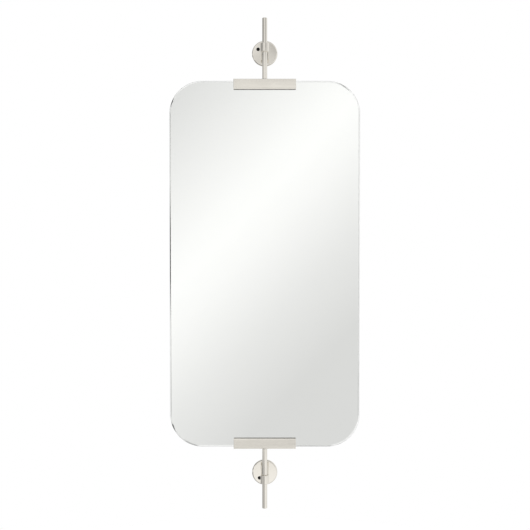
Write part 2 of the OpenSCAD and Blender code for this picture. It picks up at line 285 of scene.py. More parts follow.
def makeRolled(name, light, dark, grain):
    material, tree, shader = newMaterial(name, Metallic=1.0)
    tone = twoTones(tree, light, dark, 60.0)
    lines = placeGroup(tree, drawnGrain, Stretch=grain)
    tree.links.new(tone["Color"], shader["Base Color"])
    tree.links.new(remap(tree, lines["Mask"], 0.0, 1.0, 0.22, 0.5), shader["Roughness"])
    addBumps(tree, shader, (lines["Height"], 0.3, 0.04 * mm))
    return material


# clear float glass, with the faint green of its iron and a few smears
def makeGlass():
    material, tree, shader = newMaterial("floatGlass", Metallic=0.0, Transmission_Weight=1.0, IOR=1.52)
    tone = twoTones(tree, (0.985, 0.997, 0.989), (0.980, 0.994, 0.985), 6.0)
    smears = placeGroup(tree, dustFilm, Amount=0.02)["Mask"]
    tree.links.new(tone["Color"], shader["Base Color"])
    tree.links.new(smears, shader["Roughness"])
    return material


def makeSilvering():
    material, tree, shader = newMaterial("silvering", Metallic=1.0)
    tone = twoTones(tree, (0.972, 0.968, 0.960), (0.966, 0.962, 0.953), 3.0)
    tree.links.new(tone["Color"], shader["Base Color"])
    tree.links.new(remap(tree, tone["Mask"], 0.0, 1.0, 0.0, 0.005), shader["Roughness"])
    return material


# grey paint on thin hardboard: a low skin over pressed fibres, scuffed here and there
def makePaintedBoard():
    material, tree, shader = newMaterial("paintedBoard", Metallic=0.0, Coat_Weight=0.08)
    tone = twoTones(tree, (0.135, 0.137, 0.140), (0.105, 0.107, 0.110), 16.0)
    fibres = placeGroup(tree, drawnGrain, Stretch=(700.0, 700.0, 240.0))
    scratches = placeGroup(tree, hairlines, Amount=0.6)["Mask"]
    edge = placeGroup(tree, edgeRub, Width=0.9 * mm, Amount=0.7)["Mask"]
    dust = placeGroup(tree, dustFilm, Amount=0.5)["Mask"]
    scuffed = mixColors(tree, scratches, tone["Color"], (0.21, 0.21, 0.21, 1))
    rubbed = mixColors(tree, edge, scuffed, (0.27, 0.22, 0.17, 1))
    tree.links.new(mixColors(tree, dust, rubbed, (0.42, 0.41, 0.39, 1)), shader["Base Color"])
    tree.links.new(remap(tree, fibres["Mask"], 0.0, 1.0, 0.45, 0.75), shader["Roughness"])
    addBumps(tree, shader, (fibres["Height"], 0.35, 0.12 * mm), (scratches, 0.2, 0.05 * mm))
    return material


# rubber and plastic: two tones, fine pores and dust
def makeSoft(name, light, dark, roughness, size, depth, **sockets):
    material, tree, shader = newMaterial(name, Metallic=0.0, **sockets)
    tone = twoTones(tree, light, dark, size)
    pores = placeGroup(tree, drawnGrain, Stretch=(1400.0, 1400.0, 1400.0))
    dust = placeGroup(tree, dustFilm, Amount=0.3)["Mask"]
    tree.links.new(mixColors(tree, dust, tone["Color"], (0.55, 0.54, 0.52, 1)), shader["Base Color"])
    tree.links.new(remap(tree, pores["Mask"], 0.0, 1.0, *roughness), shader["Roughness"])
    addBumps(tree, shader, (pores["Height"], depth, 0.05 * mm))
    return material


nickel = ((0.80, 0.768, 0.704), (0.755, 0.723, 0.66))
materials = {
    "rod": makePlated("polishedRod", *nickel, (0.03, 0.10), (900, 900, 60)),
    "arm": makePlated("polishedArm", *nickel, (0.03, 0.10), (500, 60, 500)),
    "plate": makePlated("turnedPlate", *nickel, (0.03, 0.09), depth=0.03),
    "bar": makePlated("satinBar", *nickel, (0.12, 0.28), (26, 1400, 1400), 0.2, 0.6),
    "screw": makePlated("platedScrew", (0.72, 0.70, 0.66), (0.64, 0.62, 0.58), (0.15, 0.35), (900, 900, 900)),
    "blackOxide": makeBlackOxide(),
    "steel": makeRolled("rolledSteel", (0.60, 0.60, 0.61), (0.50, 0.50, 0.51), (20, 1600, 1600)),
    "brass": makeRolled("softBrass", (0.78, 0.60, 0.30), (0.68, 0.51, 0.24), (900, 900, 900)),
    "glass": makeGlass(),
    "silver": makeSilvering(),
    "board": makePaintedBoard(),
    "gasket": makeSoft("gasketRubber", (0.045, 0.045, 0.047), (0.03, 0.03, 0.031), (0.5, 0.8), 80.0, 0.3),
    "bumper": makeSoft("bumperSilicone", (0.62, 0.64, 0.64), (0.55, 0.57, 0.57), (0.25, 0.45), 300.0, 0.15,
                       Transmission_Weight=0.3, IOR=1.42),
    "acetal": makeSoft("whiteAcetal", (0.82, 0.81, 0.77), (0.76, 0.75, 0.71), (0.3, 0.5), 200.0, 0.12),
}
print("materials made:", len(materials))


def addPiece(name, mesh, body, slotName, material, *replaced):
    piece = addObject(name, mesh)
    mesh.materials.clear()
    mesh.materials.append(materials[material])
    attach(piece, body)
    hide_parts(*replaced)
    return piece


# an object's mesh with its modifiers applied; the object itself goes
def takeMesh(holder):
    bpy.context.view_layer.update()
    evaluated = holder.evaluated_get(bpy.context.evaluated_depsgraph_get())
    mesh = bpy.data.meshes.new_from_object(evaluated)
    holder.modifiers.clear()
    bpy.data.objects.remove(holder)
    return mesh


# A finished mesh. Its normals are weighted by area, so a wide face stays flat beside a rounding.
def meshFrom(work, name, sharpDegrees=32):
    mesh = bpy.data.meshes.new(name)
    work.to_mesh(mesh)
    work.free()
    mesh.validate()
    mesh.shade_smooth()
    mesh.set_sharp_from_angle(angle=math.radians(sharpDegrees))
    holder = addObject(name, mesh)
    modifier = holder.modifiers.new("weighted", "WEIGHTED_NORMAL")
    modifier.weight = 100
    modifier.keep_sharp = True
    finished = takeMesh(holder)
    bpy.data.meshes.remove(mesh)
    finished.name = name
    return finished


# rounds the corners of a line of (radius, height) points
def eased(points, radius, steps=4, closed=False):
    out = [] if closed else [points[0]]
    count = len(points)
    for i in range(0 if closed else 1, count if closed else count - 1):
        here = Vector(points[i])
        back = Vector(points[i - 1]) - here
        ahead = Vector(points[(i + 1) % count]) - here
        cut = min(radius / math.tan(back.angle(ahead) / 2), 0.45 * back.length, 0.45 * ahead.length)
        start, end = here + back.normalized() * cut, here + ahead.normalized() * cut
        for k in range(steps + 1):
            f = k / steps
            out.append(tuple(start * (1 - f) ** 2 + here * 2 * f * (1 - f) + end * f ** 2))
    return out if closed else out + [points[-1]]


# Turns (radius, height) points about an axis, and place puts (x, y, height) into the frame.
# ringRadius may give a ring's radius by its row and angle, for a hexagon or a thread.
def turned(profile, place, segments=96, closed=False, ringRadius=None):
    work = bmesh.new()
    rings = []
    for row, (radius, height) in enumerate(profile):
        if radius < 0.0001:
            rings.append([work.verts.new(place(0, 0, height))])
            continue
        ring = []
        for i in range(segments):
            angle = 2 * math.pi * i / segments
            r = ringRadius(row, radius, height, angle) if ringRadius else radius
            ring.append(work.verts.new(place(r * math.cos(angle), r * math.sin(angle), height)))
        rings.append(ring)
    for low, high in list(zip(rings, rings[1:])) + ([(rings[-1], rings[0])] if closed else []):
        for i in range(segments):
            k = (i + 1) % segments
            if len(low) == 1 and len(high) == 1:
                continue
            if len(low) == 1:
                work.faces.new((low[0], high[k], high[i]))
            elif len(high) == 1:
                work.faces.new((low[i], low[k], high[0]))
            else:
                work.faces.new((low[i], low[k], high[k], high[i]))
    bmesh.ops.recalc_face_normals(work, faces=work.faces)
    return work


# places for turned shapes, from millimetres to the frame
def outOfWall(z, x=0.0):
    return lambda a, b, h: ((x + a) * mm, -h * mm, (z + b) * mm)


def alongRod(side, rodOut):
    return lambda a, b, h: (a * mm, (b - rodOut) * mm, side * h * mm)


def acrossBarrel(z, rodOut):
    return lambda a, b, h: (h * mm, (a - rodOut) * mm, (z + b) * mm)


def intoWall(y, z=0.0):
    return lambda a, b, h: (a * mm, (y + h) * mm, (z + b) * mm)


def joinAll(works):
    out = bmesh.new()
    for work in works:
        part = bpy.data.meshes.new("part")
        work.to_mesh(part)
        work.free()
        out.from_mesh(part)
        bpy.data.meshes.remove(part)
    return out


# one closed shape cut from or added to another
def combined(work, other, operation):
    objects = []
    for shape in (work, other):
        holder = bpy.data.objects.new("shape", bpy.data.meshes.new("shape"))
        shape.to_mesh(holder.data)
        shape.free()
        scene.collection.objects.link(holder)
        objects.append(holder)
    modifier = objects[0].modifiers.new("cut", "BOOLEAN")
    modifier.object = objects[1]
    modifier.operation = operation
    modifier.solver = "EXACT"
    bpy.context.view_layer.update()
    evaluated = objects[0].evaluated_get(bpy.context.evaluated_depsgraph_get())
    result = bmesh.new()
    result.from_mesh(evaluated.to_mesh())
    for holder in objects:
        bpy.data.objects.remove(holder)
    bmesh.ops.remove_doubles(result, verts=result.verts, dist=0.0005 * mm)
    return result


# a copy of a node with its loose triangles joined and its edges softened
def softened(node, width, steps=3, degrees=35):
    work = bmesh.new()
    work.from_mesh(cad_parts[node].data)
    bmesh.ops.remove_doubles(work, verts=work.verts, dist=0.001 * mm)
    bmesh.ops.dissolve_limit(work, angle_limit=math.radians(0.4), verts=work.verts, edges=work.edges)
    edges = [e for e in work.edges if len(e.link_faces) == 2 and e.calc_face_angle(0) > math.radians(degrees)]
    bmesh.ops.bevel(work, geom=edges, offset=width * mm, segments=steps, profile=0.5, affect="EDGES",
                    offset_type="WIDTH", clamp_overlap=True)
    bmesh.ops.remove_doubles(work, verts=work.verts, dist=0.0005 * mm)
    return work


# runs a geometry tree with its named inputs and keeps the result as a plain, closed mesh
def shapeFrom(tree, name, inputs):
    holder = addObject(name, bpy.data.meshes.new(name))
    modifier = holder.modifiers.new("shape", "NODES")
    modifier.node_group = tree
    for item in tree.interface.items_tree:
        if item.in_out == "INPUT" and item.name in inputs:
            modifier[item.identifier] = inputs[item.name]
    mesh = takeMesh(holder)
    work = bmesh.new()
    work.from_mesh(mesh)
    bpy.data.meshes.remove(mesh)
    bmesh.ops.remove_doubles(work, verts=work.verts, dist=0.0005 * mm)
    bmesh.ops.recalc_face_normals(work, faces=work.faces)
    return meshFrom(work, name)


# makes instances real, gives them the material and passes them out of a geometry tree
def handOut(tree, last, given, out):
    real = addNode(tree, "GeometryNodeRealizeInstances", {"Geometry": last.outputs["Geometry"]})
    painted = addNode(tree, "GeometryNodeSetMaterial", {
        "Geometry": real.outputs["Geometry"], "Material": given["Material"]})
    tree.links.new(painted.outputs["Geometry"], out["Geometry"])


# A panel with round corners, drawn flat and then stood up. Its front face is a filleted
# rectangle, which is extruded back in steps: out over the front bevel, along the edge, and in
# over the rear bevel. A point moves out along the radius of its own corner.
def makePanelTree():
    tree, given, out = newGroup("roundPanel", "GeometryNodeTree", [
        ("Width", "NodeSocketFloat", 0.4), ("Height", "NodeSocketFloat", 0.8),
        ("Corner", "NodeSocketFloat", 0.08), ("Thickness", "NodeSocketFloat", 0.005),
        ("Front Bevel", "NodeSocketFloat", 0.001), ("Rear Bevel", "NodeSocketFloat", 0.001),
        ("Depth", "NodeSocketFloat", 0.0), ("Corner Steps", "NodeSocketInt", 48),
        ("Material", "NodeSocketMaterial", None),
    ], [("Geometry", "NodeSocketGeometry")])
    front, rear = given["Front Bevel"], given["Rear Bevel"]
    twice = times(tree, front, 2.0)
    box = addNode(tree, "GeometryNodeCurvePrimitiveQuadrilateral", {
        "Width": minus(tree, given["Width"], twice),
        "Height": minus(tree, given["Height"], twice)})
    fillet = addNode(tree, "GeometryNodeFilletCurve", {
        "Curve": box.outputs["Curve"], "Count": given["Corner Steps"],
        "Radius": minus(tree, given["Corner"], front)}, mode="POLY")
    face = addNode(tree, "GeometryNodeFillCurve", {"Curve": fillet.outputs["Curve"]}, mode="NGONS")
    # direction away from the middle of the nearest corner
    centre = vector(tree, X=minus(tree, times(tree, given["Width"], 0.5), given["Corner"]),
                    Y=minus(tree, times(tree, given["Height"], 0.5), given["Corner"]), Z=1000.0)
    place = addNode(tree, "GeometryNodeInputPosition").outputs["Position"]
    opposite = vectorCalc(tree, "MULTIPLY", centre, (-1, -1, -1))
    nearest = vectorCalc(tree, "MINIMUM", vectorCalc(tree, "MAXIMUM", place, opposite), centre)
    outward = vectorCalc(tree, "NORMALIZE", vectorCalc(tree, "SUBTRACT", place, nearest))
    edgeHeight = minus(tree, minus(tree, given["Thickness"], front), rear)
    shape, top = face.outputs["Mesh"], True
    for back, widen in ((front, front), (edgeHeight, None), (rear, times(tree, rear, -1.0))):
        offset = vector(tree, Z=times(tree, back, -1.0))
        pushed = addNode(tree, "GeometryNodeExtrudeMesh", {
            "Mesh": shape, "Selection": top, "Offset": offset, "Individual": False}, mode="FACES")
        shape, top = pushed.outputs["Mesh"], pushed.outputs["Top"]
        if widen:
            slide = addNode(tree, "ShaderNodeVectorMath", {0: outward, "Scale": widen}, operation="SCALE")
            shape = addNode(tree, "GeometryNodeSetPosition", {
                "Geometry": shape, "Selection": top, "Offset": slide.outputs["Vector"]}).outputs["Geometry"]
    both = addNode(tree, "GeometryNodeJoinGeometry", {"Geometry": shape})
    tree.links.new(face.outputs["Mesh"], both.inputs["Geometry"])
    stood = addNode(tree, "GeometryNodeTransform", {
        "Geometry": both.outputs["Geometry"], "Translation": vector(tree, Y=given["Depth"]),
        "Rotation": (math.pi / 2, 0, 0)})
    handOut(tree, stood, given, out)
    return tree


panelTree = makePanelTree()
# Millimetres; tuck is how far the silver reaches into the glass, so that no film of air is left.
# The front bevel of the glass is wider here than the 1.2 of the solid.
glassSheet = {"node": "mirror_glass", "corner": 78.0, "front": 2.2, "rear": 1.2, "tuck": 0.0}
silverSheet = {"node": "silver_coat", "corner": 76.8, "front": 0.03, "rear": 0.05, "tuck": 0.02}
backingSheet = {"node": "backing_panel", "corner": 70.0, "front": 0.2, "rear": 0.8, "tuck": 0.0}


def makeSheet(sheet, slotName, material):
    low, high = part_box(sheet["node"])
    tuck = sheet["tuck"] * mm
    inputs = {
        "Width": high.x - low.x, "Height": high.z - low.z, "Corner": sheet["corner"] * mm,
        "Thickness": high.y - low.y + tuck, "Depth": low.y - tuck,
        "Front Bevel": sheet["front"] * mm, "Rear Bevel": sheet["rear"] * mm,
        "Material": materials[material],
    }
    mesh = shapeFrom(panelTree, sheet["node"], inputs)
    addPiece(sheet["node"] + ".dressed", mesh, "mirror", slotName, material, sheet["node"])


makeSheet(glassSheet, "clear_glass", "glass")
makeSheet(silverSheet, "silvering", "silver")
makeSheet(backingSheet, "painted_board", "board")
print("glass, silver and backing made")


# rows and columns of one small piece, set out about a middle point
def makeRowTree():
    tree, given, out = newGroup("rowsOfPieces", "GeometryNodeTree", [
        ("Piece", "NodeSocketObject", None),
        ("Columns", "NodeSocketInt", 3), ("Column Step", "NodeSocketFloat", 0.05),
        ("Rows", "NodeSocketInt", 1), ("Row Step", "NodeSocketFloat", 0.1),
        ("Middle", "NodeSocketVector", (0, 0, 0)), ("Material", "NodeSocketMaterial", None),
    ], [("Geometry", "NodeSocketGeometry")])

    def line(count, step, axis):
        spread = times(tree, minus(tree, count, 1.0), -0.5)
        start = vector(tree, **{axis: times(tree, spread, step)})
        return addNode(tree, "GeometryNodeMeshLine", {
            "Count": count, "Start Location": start, "Offset": vector(tree, **{axis: step})},
            mode="OFFSET").outputs["Mesh"]

    columns = line(given["Columns"], given["Column Step"], "X")
    rows = line(given["Rows"], given["Row Step"], "Z")
    grid = addNode(tree, "GeometryNodeInstanceOnPoints", {"Points": columns, "Instance": rows})
    points = addNode(tree, "GeometryNodeRealizeInstances", {"Geometry": grid.outputs["Instances"]})
    piece = addNode(tree, "GeometryNodeObjectInfo", {"Object": given["Piece"]})
    placed = addNode(tree, "GeometryNodeInstanceOnPoints", {
        "Points": points.outputs["Geometry"], "Instance": piece.outputs["Geometry"]})
    moved = addNode(tree, "GeometryNodeTransform", {
        "Geometry": placed.outputs["Instances"], "Translation": given["Middle"]})
    handOut(tree, moved, given, out)
    return tree


rowTree = makeRowTree()


def setOut(work, node, material, columns, columnStep, middle, rows=1, rowStep=0.0):
    master = addObject("master", meshFrom(work, "master"))
    inputs = {
        "Piece": master, "Columns": columns, "Column Step": columnStep * mm, "Rows": rows,
        "Row Step": rowStep * mm, "Middle": middle, "Material": materials[material],
    }
    mesh = shapeFrom(rowTree, node, inputs)
    bpy.data.objects.remove(master)
    return mesh


# the distance to a hexagon's side, for a ring with the points of a circle
def hexRadius(halfFlats, angle):
    return halfFlats / math.cos(angle % (math.pi / 3) - math.pi / 6)


# the thread's depth is a share of its pitch; the socket's mouth and cone are shares of half its width
screwForm = {"stepsPerPitch": 8, "threadDepth": 0.33, "mouth": 1.16, "mouthDepth": 0.12, "cone": 0.3,
             "segments": 36}


# a threaded grub screw with its tip at the start and a hexagon socket in its other end
def grubScrew(screw, place):
    radius, length, bevel = screw["diameter"] / 2, screw["length"], screw["bevel"]
    pitch, flats = screw["pitch"], screw["socket"] / 2
    step = pitch / screwForm["stepsPerPitch"]
    turns = int((length - 2 * bevel) / step)
    cone = [(0, 0), (radius - bevel, 0), (radius, bevel)]
    thread = [(radius, bevel + (k + 0.5) * (length - 2 * bevel) / turns) for k in range(turns)]
    head = [(radius, length - bevel), (radius - bevel, length), (screwForm["mouth"] * flats, length)]
    socket = [(flats, length - screwForm["mouthDepth"]), (flats, length - screw["socketDepth"])]
    bottom = [(0, length - screw["socketDepth"] - screwForm["cone"] * flats)]
    firstThread, firstSocket = len(cone), len(cone + thread + head)

    def ringRadius(row, r, h, angle):
        if row >= firstSocket:
            return hexRadius(r, angle)
        if firstThread <= row < firstThread + turns:
            phase = (h / pitch - angle / (2 * math.pi)) % 1.0
            return r - screwForm["threadDepth"] * pitch * (1 - abs(2 * phase - 1))
        return r

    return turned(cone + thread + head + socket + bottom, place, screwForm["segments"], ringRadius=ringRadius)


pinchScrews = {"diameter": 4.0, "length": 2.7, "bevel": 0.3, "socket": 2.0, "socketDepth": 1.3, "pitch": 0.7,
               "count": 3, "step": 50.0}


def makePinchScrews(end):
    node = end + "_pinch_screws"
    low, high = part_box(node)
    screw = grubScrew(pinchScrews, intoWall(0))
    middle = ((low.x + high.x) / 2, low.y, (low.z + high.z) / 2)
    mesh = setOut(screw, node, "blackOxide", pinchScrews["count"], pinchScrews["step"], middle)
    addPiece(node + ".dressed", mesh, "mirror", "black_steel", "blackOxide", node)


bumpers = {"diameter": 12.0, "height": 4.0, "dome": 9.0, "foot": 0.3, "edge": 0.25, "steps": 14,
           "across": 417.0, "rise": 680.0}


# a dome on a short straight foot, flat where it is stuck to the backing
def makeBumpers():
    radius, height, dome = bumpers["diameter"] / 2, bumpers["height"], bumpers["dome"]
    rimAngle = math.asin(radius / dome)
    steps = bumpers["steps"]
    arc = [(dome * math.sin(rimAngle * k / steps), height - dome + dome * math.cos(rimAngle * k / steps))
           for k in range(steps, 0, -1)]
    foot = [(0, 0), (radius - bumpers["foot"], 0), (radius, bumpers["foot"]), arc[0], arc[1]]
    foot = eased(foot, bumpers["edge"], 3)
    work = turned(foot[:-1] + arc[1:] + [(0, height)], intoWall(0), 40)
    low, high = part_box("wall_bumpers")
    middle = ((low.x + high.x) / 2, low.y, (low.z + high.z) / 2)
    mesh = setOut(work, "wall_bumpers", "bumper", 2, bumpers["across"], middle, 2, bumpers["rise"])
    addPiece("wall_bumpers.dressed", mesh, "mirror", "bumper_rubber", "bumper", "wall_bumpers")


blocks = {"length": 30.0, "thickness": 1.0, "spread": 90.0, "edge": 0.12}


def makeSettingBlocks(end):
    node = end + "_setting_blocks"
    low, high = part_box(node)
    work = bmesh.new()
    bmesh.ops.create_cube(work, size=1.0)
    for vert in work.verts:
        vert.co = Vector((vert.co.x * blocks["length"] * mm, vert.co.y * (high.y - low.y),
                          vert.co.z * blocks["thickness"] * mm))
    bmesh.ops.bevel(work, geom=list(work.edges), offset=blocks["edge"] * mm, segments=2, profile=0.5,
                    affect="EDGES")
    middle = ((low.x + high.x) / 2, (low.y + high.y) / 2, (low.z + high.z) / 2)
    mesh = setOut(work, node, "acetal", 2, blocks["spread"], middle)
    addPiece(node + ".dressed", mesh, "mirror", "white_plastic", "acetal", node)


makeBumpers()
for end in sides:
    makePinchScrews(end)
    makeSettingBlocks(end)
print("rows of screws, blocks and bumpers made")

# out is the distance from the plate's middle, and upper and lower are the degrees round it
steady = {"diameter": 8.0, "length": 5.4, "bevel": 0.3, "socket": 4.0, "socketDepth": 3.4, "pitch": 1.25,
          "out": 19.2, "upper": 149.0, "lower": 226.0, "sunk": 0.3, "hole": 8.1, "mouth": 0.4}


def steadyPlace(end):
    turn = math.radians(steady[end])
    x = steady["out"] * math.cos(turn)
    z = sides[end] * bracketMiddle / mm + steady["out"] * math.sin(turn)
    return x, z


plate = {"diameter": 63.0, "thickness": 6.0, "round": 3.0, "hole": 11.8, "edge": 0.25}


# a turned disc with a rounded front edge, drilled for the post and the steady screw
def makePlate(end):
    node = end + "_wall_plate"
    radius, hole = plate["diameter"] / 2, plate["hole"] / 2
    thick, rounding = plate["thickness"], plate["round"]
    arc = [(radius - rounding + rounding * math.cos(math.pi / 2 * k / 10),
            thick - rounding + rounding * math.sin(math.pi / 2 * k / 10)) for k in range(11)]
    edge = plate["edge"]
    section = [(hole, edge), (hole + edge, 0), (radius - edge, 0), (radius, edge)] + arc
    section += [(hole + edge, thick), (hole, thick - edge)]
    work = turned(section, outOfWall(sides[end] * bracketMiddle / mm), 160, closed=True)
    x, z = steadyPlace(end)
    bore, lip = steady["hole"] / 2, steady["mouth"]
    drill = [(0, -1), (bore, -1), (bore, thick - lip), (bore + 2 * lip, thick + lip), (0, thick + lip)]
    work = combined(work, turned(drill, outOfWall(z, x), 48), "DIFFERENCE")
    addPiece(node + ".dressed", meshFrom(work, node), "brackets", "polished_nickel", "plate", node)


def makeSteadyScrew(end):
    node = end + "_steady_screw"
    x, z = steadyPlace(end)
    out = outOfWall(z, x)
    work = grubScrew(steady, lambda a, b, h: out(a, b, h + steady["sunk"]))
    addPiece(node + ".dressed", meshFrom(work, node), "brackets", "black_steel", "blackOxide", node)


# out is the rods' distance from the wall, seat a gap between post and plate, and brazeLeast the share
# of the braze's width that is left above and below; the braze's root and sink lie inside the metal
arm = {"barrel": 20.49, "height": 21.0, "bore": 12.1, "bevel": 0.8, "edge": 0.35, "mouth": 0.4, "out": 66.0,
       "post": 19.0, "postEnd": 11.6, "postTip": 3.0, "endBevel": 0.3, "seat": 0.01, "shoulderIn": 0.2,
       "shoulderOut": 0.25, "braze": 0.6, "brazeLeast": 0.25, "brazeRoot": 0.6, "brazeSink": 0.8,
       "bolt": 8.0, "boltDepth": 24.0, "boltPitch": 1.25, "boltMouth": 0.5, "drillPoint": 1.6,
       "threadDepth": 0.5, "threadStop": 0.6, "ringsPerPitch": 4, "screwHole": 5.1, "screwFrom": 5.0,
       "screwMouth": 0.5, "screwMouthIn": 0.45, "screwMouthOut": 0.05, "past": 2.0}


# the brazed joint: a hollow fillet carried round the line where post and barrel meet, widest at
# the sides, because above and below the post comes close to the barrel's ends
def brazeFillet(z):
    radius, barrel, least = arm["post"] / 2, arm["barrel"] / 2, arm["brazeLeast"]
    root = radius - arm["brazeRoot"]
    work = bmesh.new()
    rings = []
    count, steps = 96, 6
    for i in range(count):
        angle = 2 * math.pi * i / count
        across, up = math.cos(angle), math.sin(angle)
        width = arm["braze"] * (least + (1 - least) * across ** 2)

        def onBarrel(r):
            return Vector((r * across, arm["out"] - math.sqrt(barrel ** 2 - (r * across) ** 2), r * up))

        corner = onBarrel(radius)
        onPost = Vector((corner.x, corner.y - width, corner.z))
        foot = onBarrel(radius + width)
        ring = []
        for k in range(steps + 1):
            f = k / steps
            ring.append(onPost * (1 - f) ** 2 + corner * 2 * f * (1 - f) + foot * f ** 2)
        ring.append(onBarrel(root) + Vector((0, arm["brazeSink"], 0)))
        ring.append(Vector((root * across, corner.y - width, root * up)))
        rings.append([work.verts.new((p.x * mm, -p.y * mm, (z + p.z) * mm)) for p in ring])
    for i in range(count):
        here, after = rings[i], rings[(i + 1) % count]
        for k in range(len(here)):
            n = (k + 1) % len(here)
            work.faces.new((here[k], after[k], after[n], here[n]))
    bmesh.ops.recalc_face_normals(work, faces=work.faces)
    return work


# Post and barrel. The post's thinner end passes through the plate and is threaded inside
# for the wall bolt; the barrel is bored for the rod and drilled at one side for its screw.
def makeArm(end):
    node = end + "_arm"
    side = sides[end]
    z = side * bracketMiddle / mm
    outer, bore, half, bevel = arm["barrel"] / 2, arm["bore"] / 2, arm["height"] / 2, arm["bevel"]
    edge, tip = arm["edge"], arm["out"] - arm["postTip"]
    section = [(0, -half), (outer - bevel, -half), (outer, bevel - half),
               (outer, half - bevel), (outer - bevel, half), (0, half)]
    middle = bracketMiddle / mm
    rodLine = alongRod(side, arm["out"])

    def inBarrel(a, b, h):
        return rodLine(a, b, h + middle)

    barrel = turned(eased(section, edge, 3), inBarrel, 128)
    post, thin, shoulder = arm["post"] / 2, arm["postEnd"] / 2, plate["thickness"]
    bolt, depth = arm["bolt"] / 2, arm["boltDepth"]
    endBevel, seat = arm["endBevel"], shoulder + arm["seat"]
    outside = [(bolt + arm["boltMouth"], 0), (thin - endBevel, 0), (thin, endBevel), (thin, seat),
               (post - arm["shoulderIn"], seat), (post, shoulder + arm["shoulderOut"]), (post, tip), (0, tip),
               (0, depth + arm["drillPoint"]), (bolt, depth)]
    turns = int(depth / arm["boltPitch"] * arm["ringsPerPitch"])
    inside = [(bolt, depth - (k + 0.5) * (depth - arm["threadStop"]) / turns) for k in range(turns)]

    def threaded(row, r, h, angle):
        if row < len(outside):
            return r
        phase = (h / arm["boltPitch"] - angle / (2 * math.pi)) % 1.0
        return r - arm["threadDepth"] * (1 - abs(2 * phase - 1))

    stem = turned(outside + inside, outOfWall(z), 96, closed=True, ringRadius=threaded)
    work = combined(barrel, brazeFillet(z), "UNION")
    work = combined(work, stem, "UNION")
    lip = arm["mouth"]
    bored = [(0, -half - lip), (bore + 2 * lip, -half - lip), (bore, lip - half),
             (bore, half - lip), (bore + 2 * lip, half + lip), (0, half + lip)]
    work = combined(work, turned(bored, inBarrel, 128), "DIFFERENCE")
    hole, start, past = arm["screwHole"] / 2, arm["screwFrom"], outer + arm["past"]
    wide = hole + arm["screwMouth"]
    drill = [(0, start), (hole, start), (hole, outer - arm["screwMouthIn"]),
             (wide, outer + arm["screwMouthOut"]), (wide, past), (0, past)]
    work = combined(work, turned(drill, acrossBarrel(z, arm["out"]), 40), "DIFFERENCE")
    addPiece(node + ".dressed", meshFrom(work, node, 28), "brackets", "polished_nickel", "arm", node)


rodScrew = {"diameter": 5.0, "length": 2.9, "bevel": 0.3, "socket": 2.5, "socketDepth": 1.5, "pitch": 0.8,
            "in": 7.05}


def makeRodScrew(end):
    node = end + "_rod_screw"
    across = acrossBarrel(sides[end] * bracketMiddle / mm, arm["out"])
    work = grubScrew(rodScrew, lambda a, b, h: across(a, b, h + rodScrew["in"]))
    addPiece(node + ".dressed", meshFrom(work, node), "brackets", "nickel_screw", "screw", node)


pad = {"diameter": 4.6, "thickness": 1.0, "in": 6.05, "edge": 0.15}


def makePads():
    radius, thick, edge = pad["diameter"] / 2, pad["thickness"], pad["edge"]
    section = [(0, 0), (radius, 0), (radius, thick), (0, thick)]
    works = []
    for side in sides.values():
        across = acrossBarrel(side * bracketMiddle / mm, arm["out"])
        works.append(turned(eased(section, edge, 2), lambda a, b, h: across(a, b, h + pad["in"]), 40))
    addPiece("rod_screw_pads.dressed", meshFrom(joinAll(works), "rod_screw_pads"), "brackets", "brass_pad",
             "brass", "rod_screw_pads")


# how far from the middle of the glass a piece on the rods' line begins and ends
def reach(node):
    ends = sorted(abs(corner.z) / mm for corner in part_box(node))
    return ends[0], ends[1]


rod = {"diameter": 12.0, "bevel": 0.8, "pivot": 8.0, "pivotBevel": 0.4, "edge": 0.25}


# an upright rod, turned down at its end for the pivot, its shoulder on the thrust washer
def makeRod(end):
    node = end + "_rod"
    foot, top = reach(node)
    shoulder = reach(end + "_thrust_washer")[1]
    radius, pivot, edge = rod["diameter"] / 2, rod["pivot"] / 2, rod["edge"]
    section = [(0, foot), (pivot - rod["pivotBevel"], foot), (pivot, foot + rod["pivotBevel"]),
               (pivot, shoulder), (radius - edge, shoulder), (radius, shoulder + edge),
               (radius, top - rod["bevel"]), (radius - rod["bevel"], top), (0, top)]
    work = turned(eased(section, edge, 3), alongRod(sides[end], arm["out"]), 128)
    addPiece(node + ".dressed", meshFrom(work, node), "rods", "polished_nickel", "rod", node)


# a closed section turned about the rods' line
def addRing(end, node, section, edge, body, slotName, material):
    line = alongRod(sides[end], arm["out"])
    work = turned(eased(section, edge, 2, closed=True), line, 96, closed=True)
    addPiece(node + ".dressed", meshFrom(work, node), body, slotName, material, node)


bush = {"bore": 8.1, "sleeve": 10.1, "flange": 12.0, "flangeThickness": 0.8, "edge": 0.12}


def makeBush(end):
    node = end + "_pivot_bush"
    bore, sleeve, flange = bush["bore"] / 2, bush["sleeve"] / 2, bush["flange"] / 2
    foot, top = reach(node)
    face = top - bush["flangeThickness"]
    section = [(bore, foot), (sleeve, foot), (sleeve, face), (flange, face), (flange, top), (bore, top)]
    addRing(end, node, section, bush["edge"], "mirror", "white_plastic", "acetal")


# film is the gap between the washer and the flange of the bush
washer = {"bore": 8.1, "outside": 12.0, "edge": 0.1, "film": 0.02}


def makeWasher(end):
    node = end + "_thrust_washer"
    bore, outside = washer["bore"] / 2, washer["outside"] / 2
    low, high = reach(node)
    low += washer["film"]
    section = [(bore, low), (outside, low), (outside, high), (bore, high)]
    addRing(end, node, section, washer["edge"], "rods", "plain_steel", "steel")


makePads()
for end in sides:
    makePlate(end)
    makeSteadyScrew(end)
    makeArm(end)
    makeRodScrew(end)
    makeRod(end)
    makeBush(end)
    makeWasher(end)
print("brackets, rods and pivots made")

